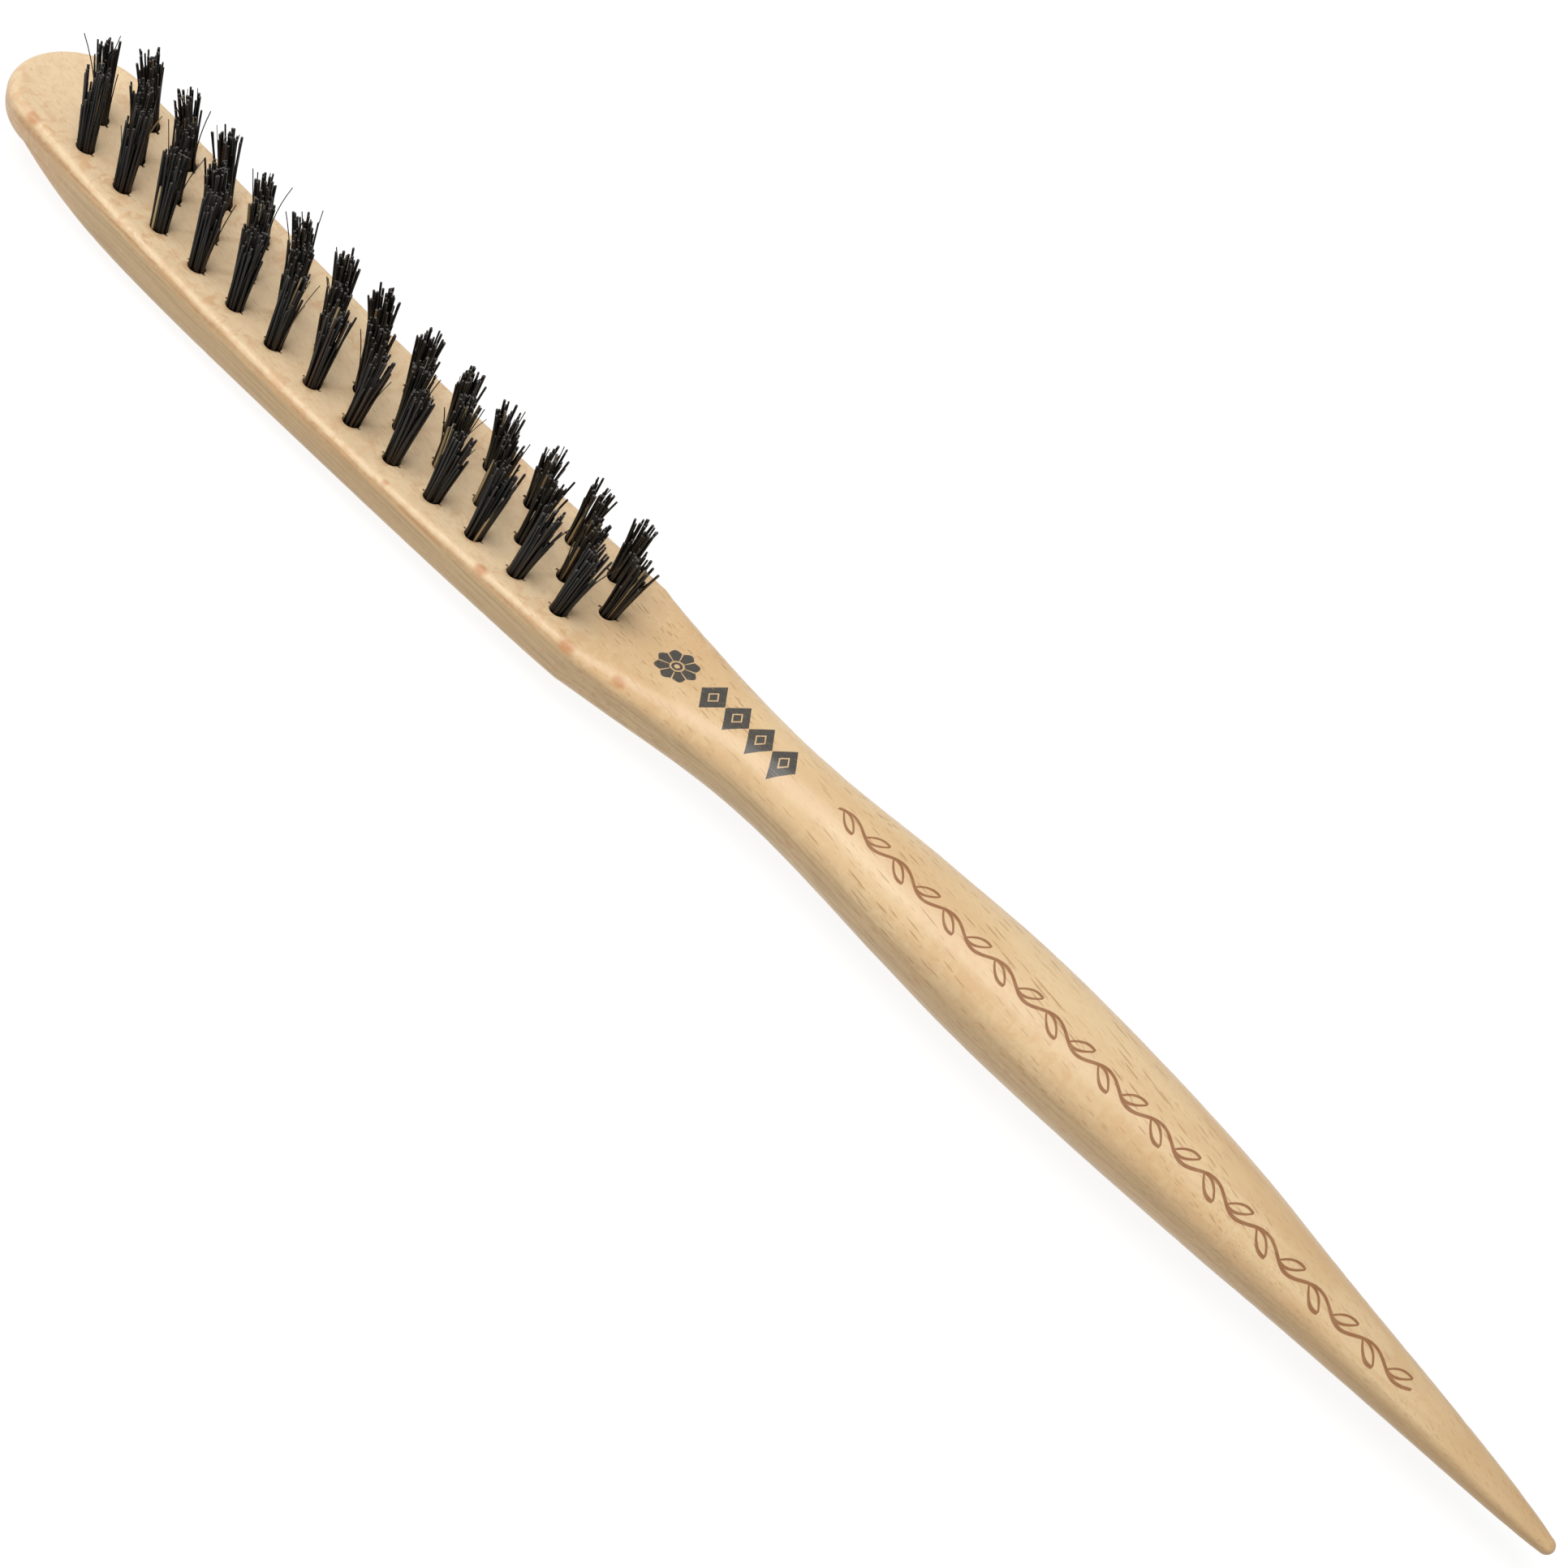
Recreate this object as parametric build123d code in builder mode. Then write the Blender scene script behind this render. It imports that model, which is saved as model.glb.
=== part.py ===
from build123d import *
import os
from math import tan, radians

# Back-combing brush: a one-piece beech body with three staggered rows of
# bristle tufts, each folded over a flat metal anchor at the bottom of its hole.
# The brush lies on its back along X, head at -X, tail at +X, bristles up.

# Body (all sizes in millimetres)
overall_length = 224.0
head_width = 17.9
neck_width = 10.4
swell_width = 13.5
tail_width = 1.9
head_tip_radius = 8.2     # plan radius of the rounded end
head_tip_back = 2.0       # rise of the back at the rounded end
head_end_back = 1.45      # rise of the back where the neck starts
head_margin = 1.0         # last tuft to the start of the neck
neck_length = 25.0        # from the end of the head to the narrowest point
face_height = 5.97        # bench to the middle of the bristle face
face_bow = 1.93           # how far the face rises from its middle to the end tufts
face_hollow_radius = 34.0 # hollow across the face, seen from the end
face_edge_radius = 1.4    # round-over between the face and the sides
belly_radius = 3.6        # round-over between the sides and the back
tip_belly_radius = 5.2    # the same at the rounded end
tip_blend = 14.0          # length over which it comes down to belly_radius
back_dome = 0.5           # rise of the back from its middle to its edges
neck_height = 11.75       # bench to the top of the neck
neck_thickness = 9.0
swell_height = 13.93      # bench to the top of the handle's thickest point
swell_thickness = 11.6
tail_height = 6.75        # bench to the top of the tail's end
tail_thickness = 1.75

# Tufts
middle_count = 14         # the outer rows hold one fewer, half a pitch along
tuft_pitch = 6.3
row_spacing = 4.6
first_tuft = 11.0         # head tip to the first tuft
outer_lean = 7.5          # degrees, outer rows towards the middle row
end_fan = 7.5             # degrees, first and last tufts away from each other
hole_diameter = 2.1
back_wall = 1.5           # wood left below the deepest holes
tuft_clearance = 0.04     # tuft root to the hole's wall
tuft_height = 9.8         # above the face, along the tuft
tuft_tip_diameter = 3.3

# Anchors: flat wire pressed across each hole
anchor_bite = 0.35        # into the wood at each side of the hole
anchor_thickness = 0.3
anchor_height = 1.5
fold_thickness = 0.6      # bristle folded under the anchor

# Worked-out places
field_length = tuft_pitch * (middle_count - 1)
head_length = first_tuft + field_length + head_margin
neck_at = head_length + neck_length
handle_length = overall_length - neck_at
hole_depth = face_height - back_wall
anchor_floor = hole_depth - fold_thickness
anchor_length = hole_diameter + 2 * anchor_bite
cut_above = 2.0           # cutters start this far above the face
start_x = -overall_length / 2


def face_top(x):
    """Height of the face's centre line at a distance from the head tip."""
    along = (x - first_tuft - field_length / 2) / (field_length / 2)
    return face_height + face_bow * along**2


def rim_rise(y):
    """Rise of the hollow face at a distance from its centre line."""
    return y**2 / (2 * face_hollow_radius)


def belly_at(x):
    """Round-over of the back's edges at a distance from the head tip."""
    along = min(max((x - head_tip_radius) / tip_blend, 0), 1)
    return belly_radius + (tip_belly_radius - belly_radius) * (1 - along) ** 2


def mix(at_head, at_handle, roundness):
    return at_head + (at_handle - at_head) * roundness


# Each station: distance from the head tip, half width, top, back, roundness
# (0 is the head's hollow-faced section, 1 is the handle's oval).
head_half = head_width / 2
neck_half = neck_width / 2
swell_half = swell_width / 2
tail_half = tail_width / 2
neck_back = neck_height - neck_thickness
swell_back = swell_height - swell_thickness
tail_back = tail_height - tail_thickness
head_end_half = 0.922 * head_half

stations = [
    (head_tip_radius, head_tip_radius, face_top(head_tip_radius), head_tip_back, 0)
]
for fraction, width, back in [
    (0.15, 0.950, 1.00),
    (0.23, 0.985, 0.35),
    (0.34, 0.998, 0.00),
    (0.47, 1.000, 0.13),
    (0.56, 1.000, 0.35),
    (0.72, 0.993, 0.75),
    (0.84, 0.974, 1.05),
    (0.93, 0.950, 1.25),
]:
    x = fraction * head_length
    stations.append((x, width * head_half, face_top(x), back, 0))
for fraction, width, rise, back, roundness in [
    (0.00, 1.00, 0.00, 0.00, 0.00),
    (0.24, 0.70, 0.25, 0.22, 0.22),
    (0.48, 0.38, 0.54, 0.42, 0.50),
    (0.72, 0.13, 0.81, 0.70, 0.77),
    (0.92, 0.01, 0.96, 0.94, 0.96),
    (1.00, 0.00, 1.00, 1.00, 1.00),
]:
    stations.append((
        head_length + fraction * neck_length,
        mix(neck_half, head_end_half, width),
        mix(face_top(head_length), neck_height, rise),
        mix(head_end_back, neck_back, back),
        roundness,
    ))
for fraction, width, rise, back in [
    (0.06, 0.06, 0.21, -0.40),
    (0.16, 0.58, 0.62, 0.40),
    (0.30, 1.00, 1.00, 1.00),
]:
    stations.append((
        neck_at + fraction * handle_length,
        mix(neck_half, swell_half, width),
        mix(neck_height, swell_height, rise),
        mix(neck_back, swell_back, back),
        1,
    ))
for fraction, width, rise, back in [
    (0.43, 0.948, 0.985, 0.86),
    (0.57, 0.79, 0.87, 0.63),
    (0.71, 0.54, 0.60, 0.38),
    (0.85, 0.31, 0.34, 0.19),
    (0.93, 0.165, 0.17, 0.10),
]:
    stations.append((
        neck_at + fraction * handle_length,
        mix(tail_half, swell_half, width),
        mix(tail_height, swell_height, rise),
        mix(tail_back, swell_back, back),
        1,
    ))
stations.append((overall_length - tail_half, tail_half, tail_height, tail_back, 1))


def section_at(x):
    """Half width, top, back and roundness on smooth curves through the stations."""
    last = len(stations) - 1
    index = max(i for i in range(last) if stations[i][0] <= x)
    x0, x1 = stations[index][0], stations[index + 1][0]
    t = (x - x0) / (x1 - x0)
    values = []
    for item in range(1, 5):
        ends = []
        for i in (index, index + 1):
            before, after = stations[max(i - 1, 0)], stations[min(i + 1, last)]
            slope = (after[item] - before[item]) / (after[0] - before[0])
            ends.append((stations[i][item], slope * (x1 - x0)))
        (v0, m0), (v1, m1) = ends
        values.append(
            v0 * (2 * t**3 - 3 * t**2 + 1)
            + v1 * (3 * t**2 - 2 * t**3)
            + m0 * (t**3 - 2 * t**2 + t)
            + m1 * (t**3 - t**2)
        )
    return (x, *values)


# The body is lofted in spans of evenly spaced sections that share their ends
span_count = 5
steps_per_span = 6
step_length = (stations[-1][0] - stations[0][0]) / (span_count * steps_per_span)
sections = [
    section_at(stations[0][0] + step * step_length)
    for step in range(span_count * steps_per_span)
] + [stations[-1]]
spans = [
    sections[span * steps_per_span : (span + 1) * steps_per_span + 1]
    for span in range(span_count)
]


def station_plane(x):
    """Plane across the brush, with its local x along Y and local y upwards."""
    return Plane(origin=(start_x + x, 0, 0), x_dir=(0, 1, 0), z_dir=(1, 0, 0))


def outline(half_width, top, back, roundness, belly):
    """Right half of a section as curves, from the top's middle to the back's."""
    bulge = 0.5523
    thick = top - back
    edge_y = mix(face_edge_radius, 0.93 * half_width, roundness)
    edge_z = mix(face_edge_radius, 0.47 * thick, roundness)
    belly_y = mix(belly, 0.93 * half_width, roundness)
    belly_z = mix(0.8 * belly, 0.47 * thick, roundness)
    flat = half_width - edge_y
    low = half_width - belly_y
    rise = rim_rise(flat) * (1 - roundness)
    drop = back_dome * (1 - roundness)
    face = Bezier((0, top), (flat / 2, top), (flat, top + rise))
    edge = Bezier(
        (flat, top + rise),
        (flat + bulge * edge_y, top + rise + bulge * edge_y * 2 * rise / flat),
        (half_width, top + rise - (1 - bulge) * edge_z),
        (half_width, top + rise - edge_z),
    )
    side = Line((half_width, top + rise - edge_z), (half_width, back + drop + belly_z))
    lower = Bezier(
        (half_width, back + drop + belly_z),
        (half_width, back + drop + (1 - bulge) * belly_z),
        (low + bulge * belly_y, back + drop + bulge * belly_y * 2 * drop / low),
        (low, back + drop),
    )
    under = Bezier((low, back + drop), (low / 2, back), (0, back))
    return [face, edge, side, lower, under]


def tuft_plane(x, side):
    """Plane at a tuft's mouth on the face, with its normal along the tuft."""
    y = side * row_spacing
    along = (x - first_tuft - field_length / 2) / (field_length / 2)
    direction = (tan(radians(end_fan)) * along, -side * tan(radians(outer_lean)), 1)
    mouth = (start_x + x, y, face_top(x) + rim_rise(y))
    return Plane(origin=mouth, x_dir=(1, 0, 0), z_dir=direction)


rows = {}
for name, side, count, shift in [
    ("left", 1, middle_count - 1, 0.5),
    ("middle", 0, middle_count, 0.0),
    ("right", -1, middle_count - 1, 0.5),
]:
    rows[name] = [
        tuft_plane(first_tuft + (index + shift) * tuft_pitch, side) for index in range(count)
    ]
all_tufts = [plane for row in rows.values() for plane in row]

os.makedirs("parts", exist_ok=True)

# Body: lofted spans, with a rounded cap turned at each end
with BuildPart() as brush_body:
    for span in spans:
        for x, half_width, top, back, roundness in span:
            with BuildSketch(station_plane(x)):
                with BuildLine():
                    for curve in outline(half_width, top, back, roundness, belly_at(x)):
                        add(curve)
                        add(curve.mirror(Plane.YZ))
                make_face()
        loft()
    for x, half_width, top, back, roundness, turn in [
        (*stations[0], 180),
        (*stations[-1], -180),
    ]:
        with BuildSketch(station_plane(x)):
            with BuildLine():
                for curve in outline(half_width, top, back, roundness, belly_at(x)):
                    add(curve)
                Line((0, back), (0, top))
            make_face()
        revolve(axis=Axis((start_x + x, 0, 0), (0, 0, 1)), revolution_arc=turn)
    with Locations(*[plane.offset(cut_above) for plane in all_tufts]):
        Hole(hole_diameter / 2, hole_depth + cut_above)
        Box(
            anchor_length,
            anchor_thickness,
            anchor_floor + cut_above,
            align=(Align.CENTER, Align.CENTER, Align.MAX),
            mode=Mode.SUBTRACT,
        )
brush_body.part.label = "brush_body"
export_step(brush_body.part, "parts/brush_body.step")

# Tufts: the root fills its hole around the anchor and spreads above the face
root_radius = hole_diameter / 2 - tuft_clearance
for name, planes in rows.items():
    for number, plane in enumerate(planes, start=1):
        with BuildPart(plane) as tuft:
            Cylinder(root_radius, hole_depth, align=(Align.CENTER, Align.CENTER, Align.MAX))
            Cone(
                root_radius,
                tuft_tip_diameter / 2,
                tuft_height,
                align=(Align.CENTER, Align.CENTER, Align.MIN),
            )
            with Locations((0, 0, -anchor_floor)):
                Box(
                    anchor_length,
                    anchor_thickness,
                    anchor_height,
                    align=(Align.CENTER, Align.CENTER, Align.MIN),
                    mode=Mode.SUBTRACT,
                )
        tuft.part.label = f"tuft_{name}_{number:02d}"
        export_step(tuft.part, f"parts/tuft_{name}_{number:02d}.step")

# Anchors: one flat wire piece lies across each hole under its tuft's fold
for name, planes in rows.items():
    with BuildPart() as anchors:
        with Locations(*[plane.offset(-anchor_floor) for plane in planes]):
            Box(
                anchor_length,
                anchor_thickness,
                anchor_height,
                align=(Align.CENTER, Align.CENTER, Align.MIN),
            )
    anchors.part.label = f"anchors_{name}_row"
    export_step(anchors.part, f"parts/anchors_{name}_row.step")
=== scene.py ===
import bpy
import bmesh
import math
import random
from mathutils import Matrix, Vector


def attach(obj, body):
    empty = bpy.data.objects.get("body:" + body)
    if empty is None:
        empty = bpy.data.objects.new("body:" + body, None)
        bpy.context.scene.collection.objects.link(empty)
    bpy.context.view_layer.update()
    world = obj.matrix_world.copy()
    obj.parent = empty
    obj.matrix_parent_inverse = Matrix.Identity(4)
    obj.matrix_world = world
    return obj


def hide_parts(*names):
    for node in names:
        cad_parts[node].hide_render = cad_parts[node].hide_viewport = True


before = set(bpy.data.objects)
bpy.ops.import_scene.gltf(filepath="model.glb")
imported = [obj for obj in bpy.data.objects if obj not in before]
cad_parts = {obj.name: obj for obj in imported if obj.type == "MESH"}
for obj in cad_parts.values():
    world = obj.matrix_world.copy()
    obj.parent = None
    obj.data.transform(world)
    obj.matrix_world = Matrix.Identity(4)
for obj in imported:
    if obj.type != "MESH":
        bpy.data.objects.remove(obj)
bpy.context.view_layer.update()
mm = 0.001                   # one millimetre in metres
print("frame loaded:", len(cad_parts), "nodes")


# A number socket that can be written in ordinary sums
class Field:
    def __init__(self, graph, socket):
        self.graph, self.socket = graph, socket

    def sum(self, operation, first, second=0.0, third=0.0):
        settings = {"operation": operation}
        node = self.graph.add("ShaderNodeMath", settings, {0: first, 1: second, 2: third})
        return Field(self.graph, node.outputs[0])

    def __add__(self, other):
        return self.sum("ADD", self, other)

    def __radd__(self, other):
        return self.sum("ADD", other, self)

    def __sub__(self, other):
        return self.sum("SUBTRACT", self, other)

    def __rsub__(self, other):
        return self.sum("SUBTRACT", other, self)

    def __mul__(self, other):
        return self.sum("MULTIPLY", self, other)

    def __rmul__(self, other):
        return self.sum("MULTIPLY", other, self)

    def __truediv__(self, other):
        return self.sum("DIVIDE", self, other)

    def __rtruediv__(self, other):
        return self.sum("DIVIDE", other, self)

    def __pow__(self, other):
        return self.sum("POWER", self, other)

    def __rpow__(self, other):
        return self.sum("POWER", other, self)

    def __abs__(self):
        return self.sum("ABSOLUTE", self)

    def sin(self):
        return self.sum("SINE", self)

    def cos(self):
        return self.sum("COSINE", self)

    def root(self):
        return self.sum("SQRT", self)

    def angle(self, other):
        return self.sum("ARCTAN2", self, other)

    def atLeast(self, other):
        return self.sum("MAXIMUM", self, other)

    def atMost(self, other):
        return self.sum("MINIMUM", self, other)

    def above(self, other):
        return self.sum("GREATER_THAN", self, other)

    def wrap(self, low, high):
        return self.sum("WRAP", self, high, low)

    # 0 below start, 1 above end, eased between
    def step(self, start, end):
        node = self.graph.add(
            "ShaderNodeMapRange",
            {"interpolation_type": "SMOOTHSTEP"},
            {"Value": self, "From Min": start, "From Max": end},
        )
        return Field(self.graph, node.outputs[0])


# A node tree with one way of adding a node
class Graph:
    def __init__(self, tree):
        self.tree = tree
        tree.nodes.clear()

    def add(self, kind, settings=None, values=None):
        node = self.tree.nodes.new(kind)
        for name, setting in (settings or {}).items():
            if name == "stops":
                ramp = node.color_ramp
                while len(ramp.elements) < len(setting):
                    ramp.elements.new(0.5)
                for element, (place, color) in zip(ramp.elements, setting):
                    element.position, element.color = place, (*color, 1.0)
            else:
                setattr(node, name, setting)
        for key, value in (values or {}).items():
            self.feed(node.inputs[key], value)
        return node

    def feed(self, socket, value):
        if isinstance(value, Field):
            value = value.socket
        if isinstance(value, bpy.types.NodeSocket):
            self.tree.links.new(value, socket)
        else:
            socket.default_value = value

    def field(self, kind, settings=None, values=None, output=0):
        return Field(self, self.add(kind, settings, values).outputs[output])

    def mixColors(self, share, first, second):
        values = {0: share}
        for key, color in ((6, first), (7, second)):
            values[key] = (*color, 1.0) if isinstance(color, tuple) else color
        return self.add("ShaderNodeMix", {"data_type": "RGBA"}, values).outputs[2]


def newMaterial(name):
    material = bpy.data.materials.new(name)
    material.use_nodes = True
    return material, Graph(material.node_tree)


# The object's own coordinates in millimetres
def millimetres(graph):
    place = graph.add("ShaderNodeTexCoord").outputs["Object"]
    split = graph.add("ShaderNodeSeparateXYZ", values={0: place})
    return [Field(graph, socket) / mm for socket in split.outputs]


# Noise whose grains have the given sizes in millimetres along x, y and z
def grain(graph, place, size, offset=0.0, detail=2.0, roughness=0.5, distortion=0.0):
    x, y, z = place
    at = graph.add(
        "ShaderNodeCombineXYZ",
        values={0: x / size[0] + offset, 1: y / size[1], 2: z / size[2] + offset},
    ).outputs[0]
    values = {
        "Vector": at, "Scale": 1.0, "Detail": detail,
        "Roughness": roughness, "Distortion": distortion,
    }
    return graph.field("ShaderNodeTexNoise", {"noise_dimensions": "3D"}, values)


# Where the camera stands and what it looks at, angles in degrees
view = {
    "aim": Vector((7.3, -1.0, 9.0)) * mm,
    "turned": -16.05,
    "raised": 46.56,
    "distance": 248.5 * mm,
    "roll": 32.4,
    "lens": 55.9,
    "sensor": 36.0,
    "clip": (0.01, 20.0),
}


def makeCamera(view):
    turned, raised = math.radians(view["turned"]), math.radians(view["raised"])
    forward = Vector((
        math.sin(turned) * math.cos(raised),
        math.cos(turned) * math.cos(raised),
        -math.sin(raised),
    ))
    level = Vector((math.cos(turned), -math.sin(turned), 0.0))
    upward = level.cross(forward)
    roll = math.radians(view["roll"])
    right = level * math.cos(roll) + upward * math.sin(roll)
    up = right.cross(forward)
    camera = bpy.data.objects.new("camera", bpy.data.cameras.new("camera"))
    camera.data.lens = view["lens"]
    camera.data.sensor_width = view["sensor"]
    camera.data.clip_start, camera.data.clip_end = view["clip"]
    turn = Matrix((right, up, -forward)).transposed().to_4x4()
    stand = view["aim"] - forward * view["distance"]
    camera.matrix_world = Matrix.Translation(stand) @ turn
    bpy.context.scene.collection.objects.link(camera)
    bpy.context.scene.camera = camera


makeCamera(view)
print("camera placed")


# Printed and burnt ornament on the handle, sizes in millimetres
rosette = {
    "middle": (-9.5, 0.0),
    "radius": 2.45,
    "petals": 8,
    "notch": 0.16,        # how far the edge dips between petals
    "eye": 0.30,
    "ring": (0.62, 0.80),
    "soft": 0.05,         # blur of the print's edges
}
lozenges = {
    "start": -5.9,
    "end": 7.9,
    "count": 4,
    "height": 4.9,
    "middle": -0.30,      # y at the start
    "slant": -0.085,      # y gained for each millimetre of x
    "inset": (0.30, 0.40),
    "soft": 0.03,
}
vine = {
    "start": 13.5,
    "end": 92.0,
    "wave": 7.14,
    "rise": 0.62,
    "low": -3.0,          # y of the middle line at its lowest
    "lowAt": 53.5,
    "sag": 0.00125,       # how fast the line climbs away from there
    "stroke": 0.22,
    "leafLength": 1.25,
    "leafWidth": 0.52,
}
ink = {
    "print": (0.030, 0.036, 0.041),
    "burn": (0.28, 0.10, 0.03),
    "cover": 0.94,
    "worn": 0.30,         # how much of the print the open grain loses
    "burnDepth": 0.72,
    "faceAbove": 6.6,     # z above which the ornament shows
}


# 1 between a row's start and its end
def within(x, shape):
    return (x - shape["start"]).above(0.0) * (shape["end"] - x).above(0.0)


# Dark rosette with a pale ring around its eye
def rosetteMask(x, y, shape):
    dx, dy = x - shape["middle"][0], y - shape["middle"][1]
    away = (dx * dx + dy * dy).root()
    petal = (dy.angle(dx) * shape["petals"]).cos()
    edge = shape["radius"] * (1.0 - shape["notch"] * (1.0 - petal) * 0.5)
    low, high = shape["ring"]
    soft = shape["soft"]
    blur = soft * 1.2
    ring = away.step(low - blur, low + blur) * (1.0 - away.step(high - blur, high + blur))
    eye = 1.0 - away.step(shape["eye"] - soft, shape["eye"] + soft)
    vein = (1.0 - (petal + 1.0).step(0.01, 0.09)) * away.step(high, high + soft)
    solid = (edge - away).step(-soft, soft)
    return solid * (1.0 - ring) * (1.0 - eye) * (1.0 - vein)


# Row of bold lozenges, each with a pale line inside its edge
def lozengeMask(x, y, shape):
    pitch = (shape["end"] - shape["start"]) / shape["count"]
    inRow = within(x, shape)
    across = abs((x - shape["start"]).wrap(0.0, pitch) - pitch / 2.0) / (pitch / 2.0)
    line = y - (x - shape["start"]) * shape["slant"] - shape["middle"]
    size = across + abs(line) / (shape["height"] / 2.0)
    low, high = shape["inset"]
    soft = shape["soft"]
    inset = size.step(low - soft, low + soft) * (1.0 - size.step(high - soft, high + soft))
    return inRow * (1.0 - size.step(1.0 - soft, 1.0)) * (1.0 - inset)


# Thin running vine: a waving stem with an outlined leaf in each bend
def vineMask(x, y, shape):
    inRow = within(x, shape)
    climb = (x - shape["lowAt"]) ** 2.0 * shape["sag"]
    line = y - shape["low"] - climb
    turn = 2.0 * math.pi / shape["wave"]
    phase = (x - shape["start"]) * turn
    slope = phase.cos() * (shape["rise"] * turn)
    stem = abs(line - phase.sin() * shape["rise"]) / (1.0 + slope * slope).root()
    half = shape["stroke"]
    mark = 1.0 - stem.step(half * 0.55, half)
    for side, shift in ((1.0, 0.25), (-1.0, 0.75)):
        bendAt = x - shape["start"] - shape["wave"] * shift
        along = bendAt.wrap(-shape["wave"] / 2.0, shape["wave"] / 2.0)
        tilted = line + (along * 0.5 + shape["rise"] * 0.55) * side
        leaf = abs(along) / shape["leafLength"]
        edge = (1.0 - leaf * leaf).atLeast(0.0) * shape["leafWidth"]
        outline = abs(abs(tilted) - edge)
        inside = (1.0 - leaf).above(0.0)
        mark = mark.atLeast((1.0 - outline.step(half * 0.5, half * 0.95)) * inside)
    return mark * inRow


# Wood of the body: colours, then grain sizes in millimetres along x, y and z
beech = {
    "pale": (0.86, 0.635, 0.365),
    "warm": (0.74, 0.495, 0.255),
    # painted light on the head's upward-facing top
    "face": (0.92, 0.72, 0.475),
    # painted shade of the sides
    "flank": (0.365, 0.245, 0.115),
    "dash": (0.39, 0.185, 0.068),
    "blush": (0.74, 0.43, 0.215),
    "spot": (0.60, 0.27, 0.11),
    # painted shade of the tail end
    "tail": (0.42, 0.255, 0.105),
    "speck": (0.16, 0.09, 0.05),
    "toneSize": (38.0, 5.5, 5.5),
    "bendSize": (60.0, 14.0, 14.0),
    "fibreSize": (9.0, 0.10, 0.10),
    "streakSize": (14.0, 0.5, 0.22),
    "mottleSize": (1.1, 1.5, 1.5),
    "patchSize": (14.0, 4.0, 4.0),
    "fleckSize": (0.8, 0.42, 0.42),
    "crowdSize": (20.0, 3.5, 3.5),
    "waveSize": (1.4, 1.1, 1.1),
    "longCell": (3.6, 0.48, 0.48),     # room for each ray dash
    "longHalf": (0.48, 0.22, 0.22),    # half a dash, as a share of its room
    "shortCell": (1.25, 0.30, 0.30),
    "shortHalf": (0.40, 0.20, 0.20),
    "lean": (0.16, 0.0),               # how the dashes drift in y and z along x
    "headEnds": (-30.0, -10.0),        # x over which the head's look gives way
    "tipEnds": (-111.0, -88.0),
    "archesStart": (52.0, 68.0),
    "dashesFade": (45.0, 90.0),
    "tailStarts": (52.0, 118.0),
    "edge": (2.2, 5.5),                # y over which the round-overs begin
    "sideFrom": 0.62,                  # upward share at which the sides' painted shade starts
    "sideOver": 0.50,
    "headSideFrom": 0.22,              # added to both on the head
    "headSideOver": 0.16,
    "tipSide": 0.30,                   # how much of the sides' painted shade the tip keeps
    "roughness": 0.42,
    "coat": 0.30,
    "coatRoughness": 0.26,
    "bareHead": 0.12,                  # thinner lacquer on the head
    "bump": 0.16,
    "relief": 0.04 * mm,
    "spots": [
        (-18.3, -7.7, 8.4, 1.1),       # x, y, z and radius
        (-11.8, -6.6, 8.7, 0.9),
        (-30.7, -7.8, 7.7, 0.9),
        (-103.2, -7.4, 8.6, 1.0),
        (-45.0, -7.9, 6.8, 0.6),
    ],
    "pits": [
        (-22.8, -3.6, 8.0, 0.16),
        (28.6, -4.2, 12.6, 0.17),
        (-16.1, -8.3, 6.9, 0.15),
    ],
    "marks": {                         # how strongly each mark shows
        "rings": 0.20,
        "arches": 0.42,
        "paleFibre": 0.12,
        "darkFibre": 0.16,
        "face": 0.62,
        "flank": 0.62,
        "flankStreak": 0.26,
        "brow": 0.40,
        "browStreak": 0.30,
        "tail": 0.24,
        "tailFlank": 0.56,
        "mottle": 0.26,
        "patch": 0.42,
        "handleMottle": 0.12,
        "headMottle": 0.24,
        "edgeMottle": 0.50,
        "headEdgeMottle": 0.20,
        "cloud": 0.30,
        "fleck": 0.24,
        "dash": 0.10,
        "handleDash": 0.15,
        "dashFade": 0.70,
        "crowdLong": 0.40,
        "crowdShort": 0.24,
        "spot": 0.50,
        "pit": 0.80,
    },
}


# Thin spindles scattered along the grain, cut through wherever the surface meets them
def spindles(graph, place, cell, half, offset):
    x, y, z = place
    at = graph.add("ShaderNodeCombineXYZ", values={
        0: x / cell[0] + offset,
        1: (y + x * beech["lean"][0]) / cell[1],
        2: (z + x * beech["lean"][1]) / cell[2] + offset,
    }).outputs[0]
    nearest = graph.add("ShaderNodeTexVoronoi", {"feature": "F1"}, {"Vector": at, "Scale": 1.0})
    apart = graph.add("ShaderNodeVectorMath", {"operation": "SUBTRACT"}, {
        0: at, 1: nearest.outputs["Position"],
    }).outputs[0]
    split = graph.add("ShaderNodeSeparateXYZ", values={0: apart})
    dx, dy, dz = [Field(graph, socket) for socket in split.outputs]
    size = (dx / half[0]) ** 2.0 + (dy / half[1]) ** 2.0 + (dz / half[2]) ** 2.0
    return (1.0 - size).step(0.0, 0.75)


def nearSpots(graph, place, spots, soft):
    x, y, z = place
    total = None
    for spotX, spotY, spotZ, radius in spots:
        dx, dy, dz = x - spotX, y - spotY, z - spotZ
        away = (dx * dx * 0.6 + dy * dy + dz * dz).root() / radius
        mark = 1.0 - away.step(1.0 - soft, 1.0)
        total = mark if total is None else total.atLeast(mark)
    return total


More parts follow.
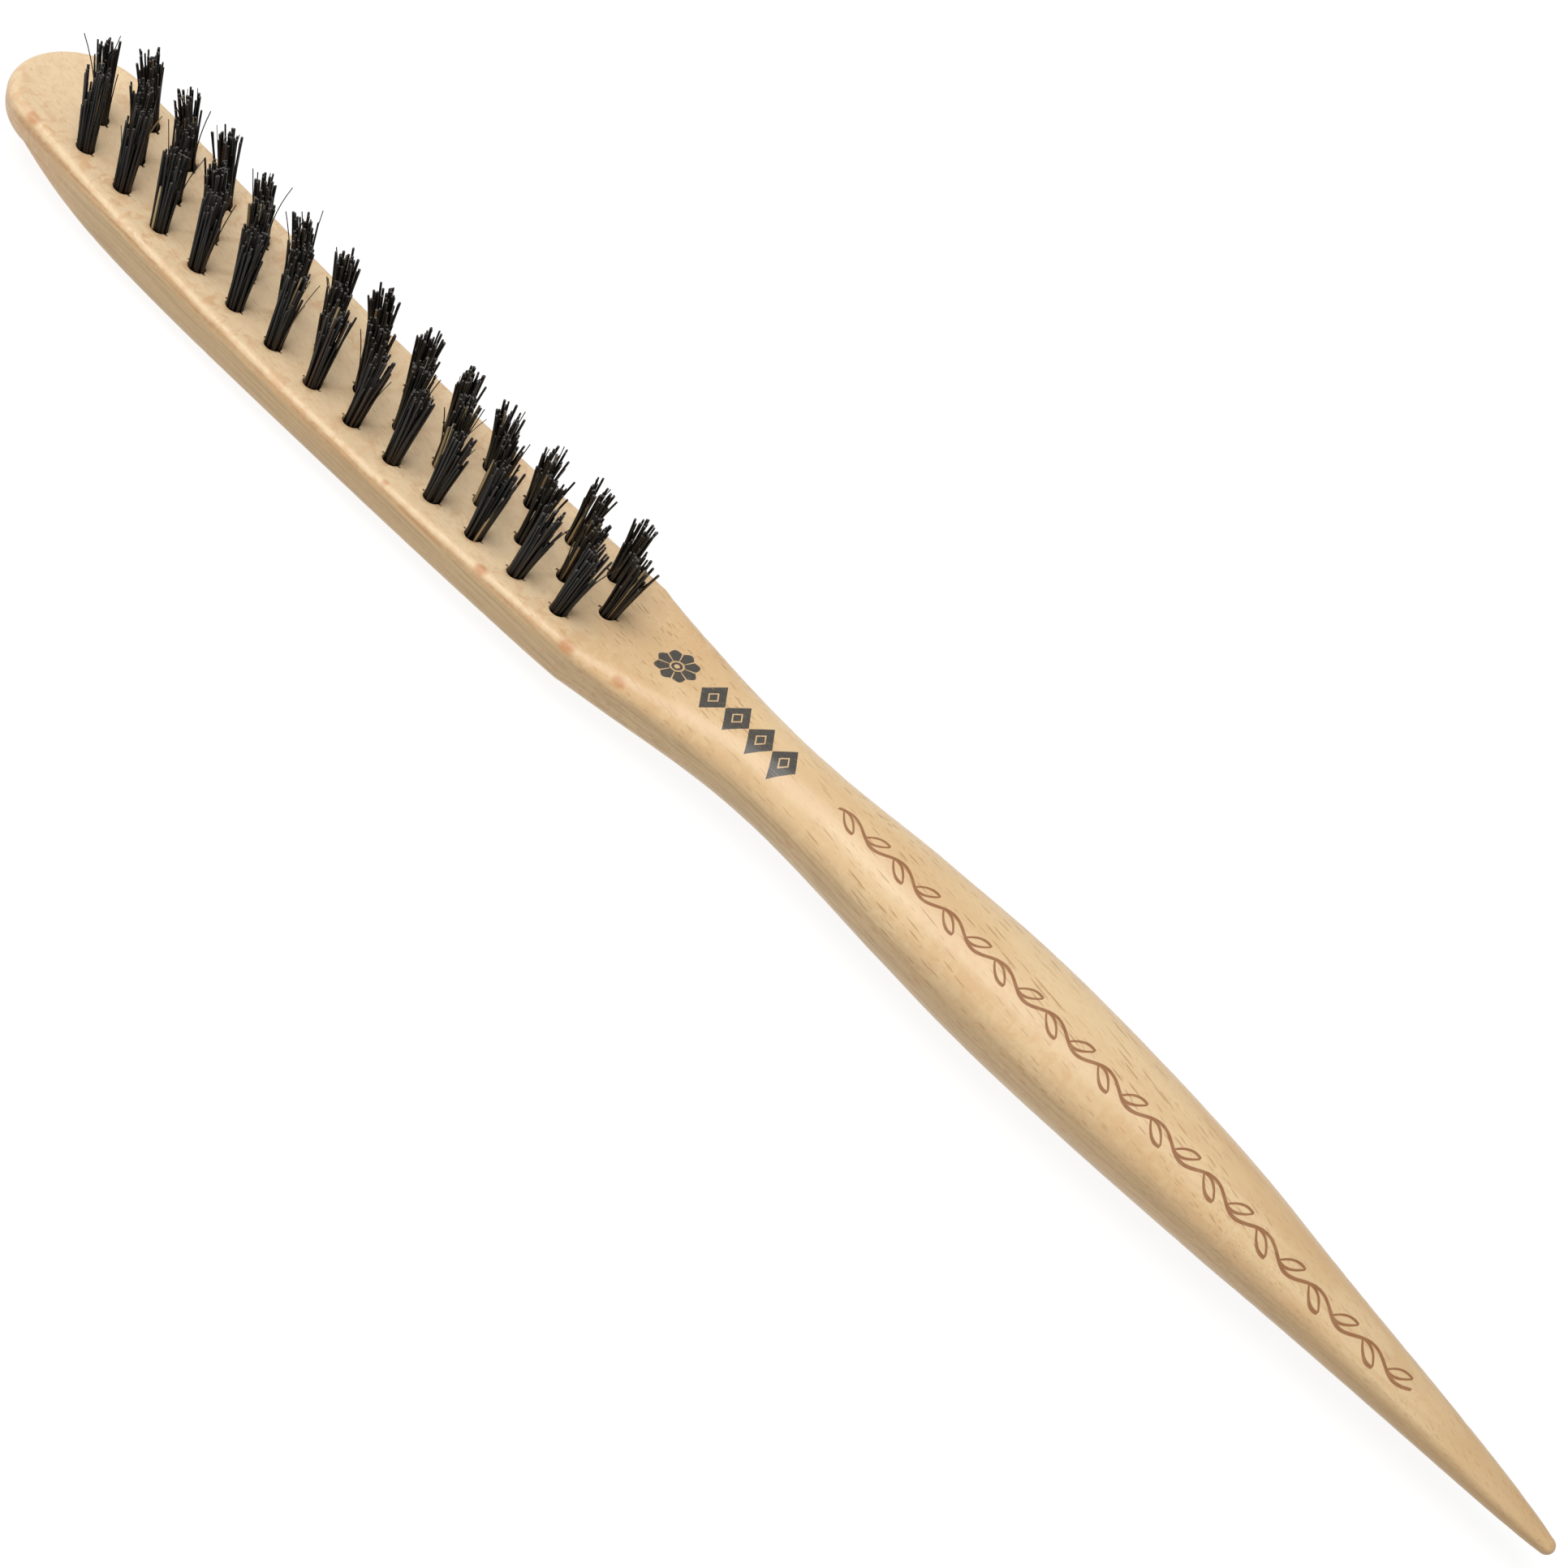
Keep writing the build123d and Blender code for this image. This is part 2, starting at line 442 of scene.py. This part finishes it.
def makeBeech(beech):
    material, graph = newMaterial("lacqueredBeech")
    place = millimetres(graph)
    x, y, z = place
    marks = beech["marks"]
    onHead = 1.0 - x.step(*beech["headEnds"])
    upward = graph.field("ShaderNodeAttribute", {"attribute_name": "upward"}, output="Fac")
    # how far the surface faces sideways, which sets the painted shade of the sides
    sideFrom = beech["sideFrom"] + onHead * beech["headSideFrom"]
    sideOver = beech["sideOver"] + onHead * beech["headSideOver"]
    sideways = ((sideFrom - upward) / sideOver).atLeast(0.0).atMost(1.0)
    offTip = x.step(*beech["tipEnds"])
    flank = sideways * (beech["tipSide"] + offTip * (1.0 - beech["tipSide"]))

    # broad tone, growth bands and fine fibre
    tone = grain(graph, place, beech["toneSize"], 3.0, detail=3.0)
    bend = grain(graph, place, beech["bendSize"], 9.0)
    arches = ((x * 0.55 + y * y * 0.9 + z * 0.6 + bend * 6.0) * 1.3).sin()
    rings = ((z * 0.9 + y * 0.35 + x * 0.035 + bend * 9.0) * 1.9).sin()
    arches = arches.step(0.3, 1.0) * x.step(*beech["archesStart"])
    rings = rings.step(0.1, 1.0) * marks["rings"] + arches * marks["arches"]
    fibre = grain(graph, place, beech["fibreSize"], 5.0, detail=3.0, roughness=0.6)
    color = graph.mixColors(tone.step(0.35, 0.68), beech["warm"], beech["pale"])
    color = graph.mixColors(rings, color, beech["warm"])
    color = graph.mixColors(fibre.step(0.40, 0.80) * marks["paleFibre"], color, beech["pale"])
    darkFibre = (1.0 - fibre).step(0.52, 0.80) * marks["darkFibre"]
    color = graph.mixColors(darkFibre, color, beech["dash"])

    # the sides are cut across the rays and look streakier; painted shade makes them greyer and
    # darker the more they face sideways
    streak = grain(graph, place, beech["streakSize"], 15.0).step(0.42, 0.66)
    # painted light: the head's upward-facing top is painted paler
    color = graph.mixColors((1.0 - flank) * onHead * marks["face"], color, beech["face"])
    # painted shade: darker the more the surface faces sideways, with grain streaks in it
    sideShading = flank * (marks["flank"] + streak * marks["flankStreak"])
    color = graph.mixColors(sideShading, color, beech["flank"])
    # painted shade: a darker band where the head's top turns down into its sides, with grain
    # streaks in it
    brow = flank.step(0.10, 0.40) * (1.0 - flank.step(0.50, 0.95)) * onHead
    browShading = brow * (marks["brow"] + streak * marks["browStreak"])
    color = graph.mixColors(browShading, color, beech["dash"])
    # painted shade: darker towards the tail end, most on the side-facing surfaces
    tailShading = x.step(*beech["tailStarts"]) * (marks["tail"] + flank * marks["tailFlank"])
    color = graph.mixColors(tailShading, color, beech["tail"])

    # mottling across the grain on the round-overs
    mottle = grain(graph, place, beech["mottleSize"], 12.0, detail=3.0, distortion=0.6)
    patch = grain(graph, place, beech["patchSize"], 31.0).step(0.40, 0.62)
    edgeward = abs(y).step(*beech["edge"])
    heavy = marks["handleMottle"] + onHead * marks["headMottle"]
    heavy = heavy + edgeward * (marks["edgeMottle"] + onHead * marks["headEdgeMottle"])
    heavy = heavy * (1.0 - flank * 0.88)
    mottled = mottle.step(0.44, 0.66) * (marks["mottle"] + patch * marks["patch"]) * heavy
    color = graph.mixColors(mottled, color, beech["blush"])
    fleck = grain(graph, place, beech["fleckSize"], 41.0).step(0.46, 0.72)
    flecked = fleck * marks["fleck"] * (1.0 - flank * 0.7)
    color = graph.mixColors(flecked, color, beech["warm"])
    cloud = (1.0 - mottle).step(0.48, 0.66) * marks["cloud"] * edgeward
    cloud = cloud * (1.0 - flank * 0.85)
    color = graph.mixColors(cloud, color, beech["pale"])

    # ray dashes, long on the handle and small on the head
    onHandle = 1.0 - onHead
    crowd = grain(graph, place, beech["crowdSize"], 4.0).step(0.36, 0.60)
    long = spindles(graph, place, beech["longCell"], beech["longHalf"], 2.3)
    short = spindles(graph, place, beech["shortCell"], beech["shortHalf"], 7.7)
    fading = 1.0 - x.step(*beech["dashesFade"]) * marks["dashFade"]
    bold = onHandle * fading * (marks["handleDash"] + crowd * marks["crowdLong"])
    color = graph.mixColors(long * (marks["dash"] + bold), color, beech["dash"])
    faint = short * (marks["dash"] + crowd * marks["crowdShort"])
    color = graph.mixColors(faint, color, beech["dash"])

    # soft spots, and a few dark pits
    spots = nearSpots(graph, place, beech["spots"], 0.7)
    color = graph.mixColors(spots * (marks["spot"] + mottle * 0.5), color, beech["spot"])
    pits = nearSpots(graph, place, beech["pits"], 0.5)
    color = graph.mixColors(pits * marks["pit"], color, beech["speck"])

    # ornament on the upper side only
    upper = z.above(ink["faceAbove"])
    printed = rosetteMask(x, y, rosette).atLeast(lozengeMask(x, y, lozenges)) * upper
    worn = ink["cover"] - (1.0 - fibre).step(0.55, 0.75) * ink["worn"]
    color = graph.mixColors(printed * worn, color, ink["print"])
    burnt = vineMask(x, y, vine) * upper
    color = graph.mixColors(burnt * (ink["burnDepth"] + mottle * 0.3), color, ink["burn"])

    # lacquer over fine relief
    rough = beech["roughness"] + fibre * 0.10 - long * 0.05 + burnt * 0.2
    relief = fibre * 0.30 - long * 0.25 + grain(graph, place, beech["waveSize"], 2.0) * 0.5
    bump = graph.add("ShaderNodeBump", values={
        "Strength": beech["bump"], "Distance": beech["relief"],
        "Height": relief - burnt * 1.6,
    })
    shader = graph.add("ShaderNodeBsdfPrincipled", values={
        "Base Color": color, "Roughness": rough, "Normal": bump.outputs[0],
        "Coat Weight": beech["coat"] - burnt * 0.2 - onHead * beech["bareHead"],
        "Coat Roughness": beech["coatRoughness"], "IOR": 1.45,
    })
    graph.add("ShaderNodeOutputMaterial", values={0: shader.outputs[0]})
    return material


def dress(piece, material):
    piece.data.materials.clear()
    piece.data.materials.append(material)


# The body again with its corners joined, so that it shades smoothly;
# "upward" holds how far each corner faces up
def smoothCopy(source, name):
    mesh = source.data.copy()
    work = bmesh.new()
    work.from_mesh(mesh)
    bmesh.ops.remove_doubles(work, verts=work.verts, dist=0.002 * mm)
    sharp = math.radians(32)    # edges bent more than this stay crisp
    for edge in work.edges:
        edge.smooth = len(edge.link_faces) == 2 and edge.calc_face_angle(0.0) < sharp
    for face in work.faces:
        face.smooth = True
    work.normal_update()
    upward = work.verts.layers.float.new("upward")
    for corner in work.verts:
        corner[upward] = corner.normal.z
    work.to_mesh(mesh)
    work.free()
    copy = bpy.data.objects.new(name, mesh)
    bpy.context.scene.collection.objects.link(copy)
    return copy


polished = smoothCopy(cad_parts["brush_body"], "beech_body")
dress(polished, makeBeech(beech))
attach(polished, "root")
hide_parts("brush_body")
print("body dressed:", len(polished.data.polygons), "faces")


# Drawn wire of the anchors, which lie inside the wood
anchorWire = {
    "dark": (0.42, 0.41, 0.39),
    "light": (0.66, 0.65, 0.62),
    "drawSize": (1.2, 0.02, 0.05),    # draw marks in millimetres
    "roughness": 0.28,
}


def makeAnchorWire(anchorWire):
    material, graph = newMaterial("anchorWire")
    place = millimetres(graph)
    drawn = grain(graph, place, anchorWire["drawSize"])
    color = graph.mixColors(drawn, anchorWire["dark"], anchorWire["light"])
    rough = anchorWire["roughness"] + drawn * 0.2
    shader = graph.add("ShaderNodeBsdfPrincipled", values={
        "Base Color": color, "Metallic": 1.0, "Roughness": rough,
    })
    graph.add("ShaderNodeOutputMaterial", values={0: shader.outputs[0]})
    return material


anchorMaterial = makeAnchorWire(anchorWire)
for name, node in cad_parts.items():
    if name.startswith("anchors"):
        dress(node, anchorMaterial)


# One tuft of boar bristle
bristles = {
    "count": 44,
    "footRadius": 0.90 * mm,
    "tipRadius": 1.60 * mm,
    "height": 9.8 * mm,
    "rootDepth": 2.0 * mm,
    "thickness": 0.172 * mm,
    "bend": 0.40 * mm,
    "shortShare": 0.55,
    "strayShare": 0.15,
    "sway": 0.035,            # how far a tuft may lean off its hole's axis
    "rings": 9,               # points along a bristle
    "sides": 6,
    "seed": 11,
    "hues": [
        (0.0, (0.006, 0.006, 0.006)),
        (0.80, (0.009, 0.008, 0.007)),
        (0.92, (0.026, 0.015, 0.009)),
        (0.965, (0.045, 0.022, 0.011)),
        (0.975, (0.30, 0.20, 0.09)),
        (1.0, (0.50, 0.38, 0.20)),
    ],
    "footHue": (0.030, 0.013, 0.006),
    "tipHue": (0.07, 0.055, 0.045),
    "cutHue": (0.115, 0.11, 0.105),
    "roughness": 0.36,
}


def makeBristleMaterial(bristles):
    material, graph = newMaterial("boarBristle")
    shade = graph.field("ShaderNodeAttribute", {"attribute_name": "shade"}, output="Fac")
    along = graph.field("ShaderNodeAttribute", {"attribute_name": "along"}, output="Fac")
    cut = graph.field("ShaderNodeAttribute", {"attribute_name": "cut"}, output="Fac")
    hue = graph.add("ShaderNodeValToRGB", {"stops": bristles["hues"]}, {0: shade}).outputs[0]
    foot = (1.0 - along).step(0.66, 0.92)
    hue = graph.mixColors(foot * 0.55, hue, bristles["footHue"])
    hue = graph.mixColors(along.step(0.90, 1.0) * 0.25, hue, bristles["tipHue"])
    hue = graph.mixColors(cut * 0.75, hue, bristles["cutHue"])
    rough = bristles["roughness"] + cut * 0.3 + along * 0.06
    shader = graph.add("ShaderNodeBsdfPrincipled", values={
        "Base Color": hue, "Roughness": rough, "IOR": 1.5, "Specular IOR Level": 0.31,
    })
    graph.add("ShaderNodeOutputMaterial", values={0: shader.outputs[0]})
    return material


goldenAngle = math.pi * (3.0 - math.sqrt(5.0))    # spreads the feet evenly over the hole


def makeBristleTree(material):
    tree = bpy.data.node_groups.new("bristleTuft", "GeometryNodeTree")
    graph = Graph(tree)
    sockets = {}
    for name, kind in [
        ("Count", "NodeSocketInt"), ("Seed", "NodeSocketInt"),
        ("Rings", "NodeSocketInt"), ("Sides", "NodeSocketInt"),
        ("Foot Radius", "NodeSocketFloat"), ("Tip Radius", "NodeSocketFloat"),
        ("Height", "NodeSocketFloat"), ("Root Depth", "NodeSocketFloat"),
        ("Thickness", "NodeSocketFloat"), ("Bend", "NodeSocketFloat"),
        ("Short Share", "NodeSocketFloat"), ("Stray Share", "NodeSocketFloat"),
        ("Mouth", "NodeSocketVector"), ("Axis", "NodeSocketVector"),
    ]:
        item = tree.interface.new_socket(name, in_out="INPUT", socket_type=kind)
        sockets[name] = item.identifier
    tree.interface.new_socket("Geometry", in_out="OUTPUT", socket_type="NodeSocketGeometry")
    given = graph.add("NodeGroupInput")

    def value(name):
        return Field(graph, given.outputs[name])

    # a steady random number for each bristle
    number = graph.field("GeometryNodeInputIndex")

    def chance(low, high, salt):
        return graph.field(
            "FunctionNodeRandomValue",
            {"data_type": "FLOAT"},
            {2: low, 3: high, "ID": number, "Seed": value("Seed") * 17.0 + salt},
            output=1,
        )

    def store(geometry, name, amount, domain="POINT"):
        return graph.add(
            "GeometryNodeStoreNamedAttribute",
            {"data_type": "FLOAT", "domain": domain},
            {"Geometry": geometry, "Name": name, "Value": amount},
        ).outputs[0]

    def stored(name):
        settings = {"data_type": "FLOAT"}
        return graph.field("GeometryNodeInputNamedAttribute", settings, {"Name": name})

    # one point for each bristle, holding where it stands and how it grows
    points = graph.add("GeometryNodePoints", values={"Count": value("Count")}).outputs[0]
    out = ((number + 0.5) / value("Count")).root()
    around = number * goldenAngle + chance(-0.35, 0.35, 1)
    isShort = (value("Short Share") * (0.45 + out * 0.75)).above(chance(0.0, 1.0, 3))
    facts = {
        "footX": out * around.cos(),
        "footY": out * around.sin(),
        "reach": 1.0 - isShort * chance(0.08, 0.44, 4) - chance(0.0, 0.06, 5),
        "bendX": chance(-1.0, 1.0, 6),
        "bendY": chance(-1.0, 1.0, 7),
        "stray": chance(0.0, 1.0, 8).above(1.0 - value("Stray Share")),
        "shade": chance(0.0, 1.0, 9),
        "girth": chance(0.72, 1.15, 10),
        "wave": chance(0.0, 2.0 * math.pi, 11),
    }
    for name, amount in facts.items():
        points = store(points, name, amount)

    # each point grows a line, which the stored facts shape
    line = graph.add(
        "GeometryNodeCurvePrimitiveLine", values={"End": (0.0, 0.0, 1.0)}
    ).outputs[0]
    line = graph.add(
        "GeometryNodeResampleCurve", values={"Curve": line, "Count": value("Rings")}
    ).outputs[0]
    grown = graph.add(
        "GeometryNodeInstanceOnPoints", values={"Points": points, "Instance": line}
    ).outputs[0]
    grown = graph.add("GeometryNodeRealizeInstances", values={0: grown}).outputs[0]
    along = graph.field("GeometryNodeSplineParameter")
    grown = store(grown, "along", along)
    length = value("Height") * stored("reach") + value("Root Depth")
    rise = length * along - value("Root Depth")
    share = (rise / value("Height")).atLeast(0.0)
    opening = value("Tip Radius") - value("Foot Radius")
    spread = value("Foot Radius") + opening * share ** 1.25
    lean = value("Bend") * share ** 2.0 * (1.0 + stored("stray") * 2.6)
    ripple = (along * 7.0 + stored("wave")).sin() * share * value("Bend") * 0.10
    sideX = stored("footX") * spread + stored("bendX") * lean + ripple
    sideY = stored("footY") * spread + stored("bendY") * lean - ripple
    local = graph.add("ShaderNodeCombineXYZ", values={0: sideX, 1: sideY, 2: rise}).outputs[0]
    turn = graph.add(
        "FunctionNodeAlignRotationToVector", {"axis": "Z"}, {"Vector": value("Axis")}
    ).outputs[0]
    turned = graph.add(
        "FunctionNodeRotateVector", values={"Vector": local, "Rotation": turn}
    ).outputs[0]
    where = graph.add(
        "ShaderNodeVectorMath", {"operation": "ADD"}, {0: turned, 1: value("Mouth")}
    ).outputs[0]
    grown = graph.add(
        "GeometryNodeSetPosition", values={"Geometry": grown, "Position": where}
    ).outputs[0]
    taper = (1.0 - along * 0.15) * (1.0 - stored("stray") * 0.62)
    girth = value("Thickness") * stored("girth") * taper
    grown = graph.add(
        "GeometryNodeSetCurveRadius", values={"Curve": grown, "Radius": girth}
    ).outputs[0]

    # give the lines their round section and closed, cut ends
    ring = graph.add(
        "GeometryNodeCurvePrimitiveCircle", values={"Resolution": value("Sides"), "Radius": 1.0}
    ).outputs[0]
    skin = graph.add("GeometryNodeCurveToMesh", values={
        "Curve": grown, "Profile Curve": ring, "Fill Caps": True, "Scale": girth,
    }).outputs[0]
    corners = graph.field("GeometryNodeCornersOfFace", output="Total")
    isCap = corners.above(4.5)    # the walls of a bristle are quads
    skin = store(skin, "cut", isCap, "FACE")
    skin = graph.add("GeometryNodeSetShadeSmooth", values={
        "Geometry": skin, "Shade Smooth": 1.0 - isCap,
    }).outputs[0]
    skin = graph.add("GeometryNodeRealizeInstances", values={0: skin}).outputs[0]
    skin = graph.add(
        "GeometryNodeSetMaterial", values={"Geometry": skin, "Material": material}
    ).outputs[0]
    graph.add("NodeGroupOutput", values={0: skin})
    return tree, sockets


# The middles of the CAD tuft's two end circles give its axis
def tuftAxis(node):
    corners = [corner.co.copy() for corner in node.data.vertices]
    axis = Vector((0.0, 0.0, 1.0))
    for reach in (0.5 * mm, 0.2 * mm, 0.05 * mm):
        heights = [corner.dot(axis) for corner in corners]
        low, high = min(heights) + reach, max(heights) - reach
        foot = [corner for corner, height in zip(corners, heights) if height < low]
        tip = [corner for corner, height in zip(corners, heights) if height > high]
        footMiddle = (Vector(map(min, *foot)) + Vector(map(max, *foot))) / 2
        tipMiddle = (Vector(map(min, *tip)) + Vector(map(max, *tip))) / 2
        axis = (tipMiddle - footMiddle).normalized()
    return tipMiddle, axis


def growTuft(tree, sockets, bristles, mouth, axis, seed, name):
    holder = bpy.data.objects.new("growing", bpy.data.meshes.new("growing"))
    bpy.context.scene.collection.objects.link(holder)
    modifier = holder.modifiers.new("bristles", "NODES")
    modifier.node_group = tree
    for key, amount in [
        ("Count", bristles["count"]), ("Seed", seed),
        ("Foot Radius", bristles["footRadius"]), ("Tip Radius", bristles["tipRadius"]),
        ("Height", bristles["height"]), ("Root Depth", bristles["rootDepth"]),
        ("Thickness", bristles["thickness"]), ("Bend", bristles["bend"]),
        ("Short Share", bristles["shortShare"]), ("Stray Share", bristles["strayShare"]),
        ("Rings", bristles["rings"]), ("Sides", bristles["sides"]),
        ("Mouth", tuple(mouth)), ("Axis", tuple(axis)),
    ]:
        modifier[sockets[key]] = amount
    depsgraph = bpy.context.evaluated_depsgraph_get()
    mesh = bpy.data.meshes.new_from_object(holder.evaluated_get(depsgraph))
    bpy.data.objects.remove(holder)
    mesh.name = name
    tuft = bpy.data.objects.new(name, mesh)
    bpy.context.scene.collection.objects.link(tuft)
    return tuft


bristleMaterial = makeBristleMaterial(bristles)
bristleTree, bristleSockets = makeBristleTree(bristleMaterial)
seed = bristles["seed"]
grownTufts = 0
for name, node in sorted(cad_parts.items()):
    if not name.startswith("tuft"):
        continue
    seed += 1
    tip, axis = tuftAxis(node)
    mouth = tip - axis * bristles["height"]
    chance = random.Random(seed)
    sway = Vector((chance.uniform(-1, 1), chance.uniform(-1, 1), 0.0)) * bristles["sway"]
    axis = (axis + sway).normalized()
    tuft = growTuft(
        bristleTree, bristleSockets, bristles, mouth, axis, seed, name.replace("tuft", "bristles")
    )
    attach(tuft, "root")
    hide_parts(name)
    grownTufts += 1
print("bristles grown:", bristles["count"], "in each of", grownTufts, "tufts")


# Floor and lights, sizes in metres
studio = {
    "floorHalf": 3.0,
    "floor": (0.16, 0.16, 0.16),
    "floorGlow": 0.88,
    "worldStrength": 0.36,
    "keyPower": 3.1,
    "keyPlace": (-0.14, -0.14, 0.60),
    "keySize": (0.55, 0.36),
    "white": (1.0, 1.0, 1.0),
}


def makeFloor(studio):
    mesh = bpy.data.meshes.new("floor")
    half = studio["floorHalf"]
    corners = [(-half, -half, 0.0), (half, -half, 0.0), (half, half, 0.0), (-half, half, 0.0)]
    mesh.from_pydata(corners, [], [(0, 1, 2, 3)])
    floor = bpy.data.objects.new("floor", mesh)
    bpy.context.scene.collection.objects.link(floor)
    material, graph = newMaterial("paleFloor")
    shader = graph.add("ShaderNodeBsdfPrincipled", values={
        "Base Color": (*studio["floor"], 1.0), "Roughness": 0.9, "Specular IOR Level": 0.1,
        "Emission Color": (*studio["white"], 1.0), "Emission Strength": studio["floorGlow"],
    })
    graph.add("ShaderNodeOutputMaterial", values={0: shader.outputs[0]})
    mesh.materials.append(material)


# A soft box above the object's middle, turned towards it
def makeKey(studio):
    light = bpy.data.objects.new("key", bpy.data.lights.new("key", "AREA"))
    light.data.shape = "RECTANGLE"
    light.data.size, light.data.size_y = studio["keySize"]
    light.data.energy = studio["keyPower"]
    light.data.color = studio["white"]
    place = Vector(studio["keyPlace"])
    turn = place.to_track_quat("Z", "Y").to_matrix().to_4x4()
    light.matrix_world = Matrix.Translation(place) @ turn
    bpy.context.scene.collection.objects.link(light)


def makeWorld(studio):
    world = bpy.data.worlds.new("world")
    world.use_nodes = True
    bpy.context.scene.world = world
    sky = Graph(world.node_tree)
    settings = {0: (*studio["white"], 1.0), 1: studio["worldStrength"]}
    glow = sky.add("ShaderNodeBackground", values=settings)
    sky.add("ShaderNodeOutputWorld", values={0: glow.outputs[0]})


makeFloor(studio)
makeKey(studio)
makeWorld(studio)
bpy.context.scene.view_settings.view_transform = "Standard"
print("floor and lights set")
